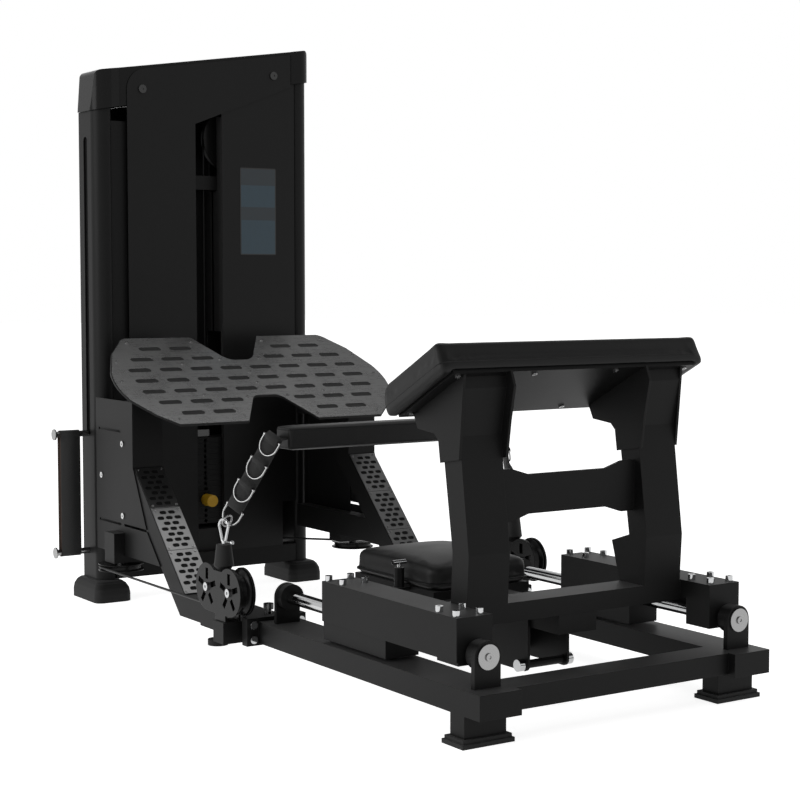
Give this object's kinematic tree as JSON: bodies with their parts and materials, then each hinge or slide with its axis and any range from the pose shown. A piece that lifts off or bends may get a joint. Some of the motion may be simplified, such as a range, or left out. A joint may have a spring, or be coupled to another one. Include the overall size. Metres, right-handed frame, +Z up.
{
  "type": "glute bridge machine",
  "caption": "Floor-standing glute bridge machine: sliding back pad carriage, pull belt on cables, sloping foot plate and enclosed weight stack tower.",
  "frame": {"origin": "centre of the overall box, on the floor", "axes": "+Z up, +Y from the back pad to the weight tower, +X to the user's left side when they look at the tower's back, the machine's right in the picture"},
  "size_m": [0.89, 1.995, 1.5615],
  "materials": {
    "powder": "satin black powder coat",
    "gloss": "glossy black",
    "rubber": "matt black rubber",
    "chrome": "polished",
    "steel": "brushed",
    "zinc": "zinc plated",
    "vinyl": "fine grained black vinyl",
    "webbing": "woven black webbing",
    "plates": "black weight plates",
    "cable": "black coated cable",
    "nylon": "black nylon",
    "yellow": "yellow knob",
    "band": "dark elastic band"
  },
  "bodies": {
    "frame": {"base_frame": "powder", "base_feet": "rubber", "guide_rods": "chrome", "rod_end_caps": "chrome", "rail_bumpers": "zinc", "flange_bolts": "zinc", "rear_frame": "powder", "step_plates": "steel", "step_plate_screws": "zinc", "side_covers": "powder", "cover_screws": "zinc", "foot_board": "powder", "foot_sheet": "steel", "foot_screws": "zinc", "tower_frame": "powder", "tower_feet": "rubber", "top_cap": "gloss", "front_plate": "powder", "left_strip": "powder", "gap_closers": "powder", "right_panel": "powder", "rear_shield": "powder", "stack_guides": "chrome", "stack_base": "rubber", "resting_plates": "plates", "pulley_brackets": "gloss", "pulley_axles": "zinc", "pulley_boxes": "powder", "drive_cables": "cable", "band_pegs": "zinc", "stretch_band": "band"},
    "stack": {"lifted_plates": "plates", "stack_stem": "steel", "stack_cables": "cable"},
    "pin": {"selector_pin": "yellow", "pin_lanyard": "cable"},
    "belt": {"belt_cables": "cable", "belt_pad": "vinyl", "belt_straps": "webbing", "d_rings": "chrome", "snap_hooks": "chrome", "stopper_cones": "rubber"},
    "carriage": {"carriage_frame": "powder", "carriage_bolts": "zinc", "back_board": "powder", "back_pad": "vinyl", "back_screws": "zinc", "seat_frame": "powder", "seat_pad": "vinyl"},
    "lock": {"lock_pin": "chrome"},
    "rear_wheel_left": {"rear_pulley_left": "nylon"},
    "rear_wheel_right": {"rear_pulley_right": "nylon"},
    "front_wheel_left": {"front_pulley_left": "nylon"},
    "front_wheel_right": {"front_pulley_right": "nylon"},
    "corner_wheel_left": {"corner_pulley_left": "nylon"},
    "corner_wheel_right": {"corner_pulley_right": "nylon"},
    "centre_wheel_left": {"centre_pulley_left": "nylon"},
    "centre_wheel_right": {"centre_pulley_right": "nylon"},
    "head_wheel_left": {"head_pulley_left": "nylon"},
    "head_wheel_right": {"head_pulley_right": "nylon"}
  },
  "joints": [
    {"name": "carriage_slide", "type": "slide", "parent": "frame", "child": "carriage", "axis": [0, 1, 0], "range_m": [0, 0.195]},
    {"name": "lock_pin_slide", "type": "slide", "parent": "carriage", "child": "lock", "axis": [0, 0, 1], "range_m": [0, 0.012]},
    {"name": "belt_raise", "type": "slide", "parent": "frame", "child": "belt", "axis": [0, 0, 1], "range_m": [0, 0.3], "deforming": ["belt_cables"]},
    {"name": "stack_lift", "type": "slide", "parent": "frame", "child": "stack", "axis": [0, 0, 1], "range_m": [0, 0.3], "deforming": ["stack_cables"]},
    {"name": "selector_pin_slide", "type": "slide", "parent": "stack", "child": "pin", "axis": [0, -1, 0], "range_m": [0, 0.08]},
    {"name": "rear_spin_right", "type": "hinge", "parent": "frame", "child": "rear_wheel_right", "pos_m": [0.42, 0.0025, 0.178], "axis": [1, 0, 0], "range_deg": [-360, 0]},
    {"name": "front_spin_right", "type": "hinge", "parent": "frame", "child": "front_wheel_right", "pos_m": [0.42, -0.1055, 0.178], "axis": [1, 0, 0], "continuous": true},
    {"name": "corner_spin_right", "type": "hinge", "parent": "frame", "child": "corner_wheel_right", "pos_m": [0.364, 0.6495, 0.13], "axis": [0, 0, 1], "range_deg": [-308, 0]},
    {"name": "centre_spin_right", "type": "hinge", "parent": "frame", "child": "centre_wheel_right", "pos_m": [0.21987, 0.88274, 0.16], "axis": [-0.7254, -0.6884, 0], "range_deg": [0, 574]},
    {"name": "head_spin_right", "type": "hinge", "parent": "frame", "child": "head_wheel_right", "pos_m": [0.10961, 0.9045, 1.296], "axis": [0, 1, 0], "range_deg": [0, 193]},
    {"name": "rear_spin_left", "type": "hinge", "parent": "frame", "child": "rear_wheel_left", "pos_m": [-0.42, 0.0025, 0.178], "axis": [1, 0, 0], "range_deg": [-360, 0]},
    {"name": "front_spin_left", "type": "hinge", "parent": "frame", "child": "front_wheel_left", "pos_m": [-0.42, -0.1055, 0.178], "axis": [1, 0, 0], "continuous": true},
    {"name": "corner_spin_left", "type": "hinge", "parent": "frame", "child": "corner_wheel_left", "pos_m": [-0.364, 0.6495, 0.13], "axis": [0, 0, 1], "range_deg": [0, 308]},
    {"name": "centre_spin_left", "type": "hinge", "parent": "frame", "child": "centre_wheel_left", "pos_m": [-0.21987, 0.88274, 0.16], "axis": [-0.7254, 0.6884, 0], "range_deg": [0, 574]},
    {"name": "head_spin_left", "type": "hinge", "parent": "frame", "child": "head_wheel_left", "pos_m": [-0.10961, 0.9045, 1.296], "axis": [0, 1, 0], "range_deg": [-193, 0]}
  ],
  "couplings": [
    {"joint": "stack_lift", "follows": "belt_raise", "ratio": 1},
    {"joint": "rear_spin_right", "follows": "belt_raise", "rad_per_m": -20.833},
    {"joint": "corner_spin_right", "follows": "belt_raise", "rad_per_m": -17.857},
    {"joint": "centre_spin_right", "follows": "belt_raise", "rad_per_m": 33.333},
    {"joint": "head_spin_right", "follows": "belt_raise", "rad_per_m": 11.16},
    {"joint": "rear_spin_left", "follows": "belt_raise", "rad_per_m": -20.833},
    {"joint": "corner_spin_left", "follows": "belt_raise", "rad_per_m": 17.857},
    {"joint": "centre_spin_left", "follows": "belt_raise", "rad_per_m": 33.333},
    {"joint": "head_spin_left", "follows": "belt_raise", "rad_per_m": -11.16}
  ]
}
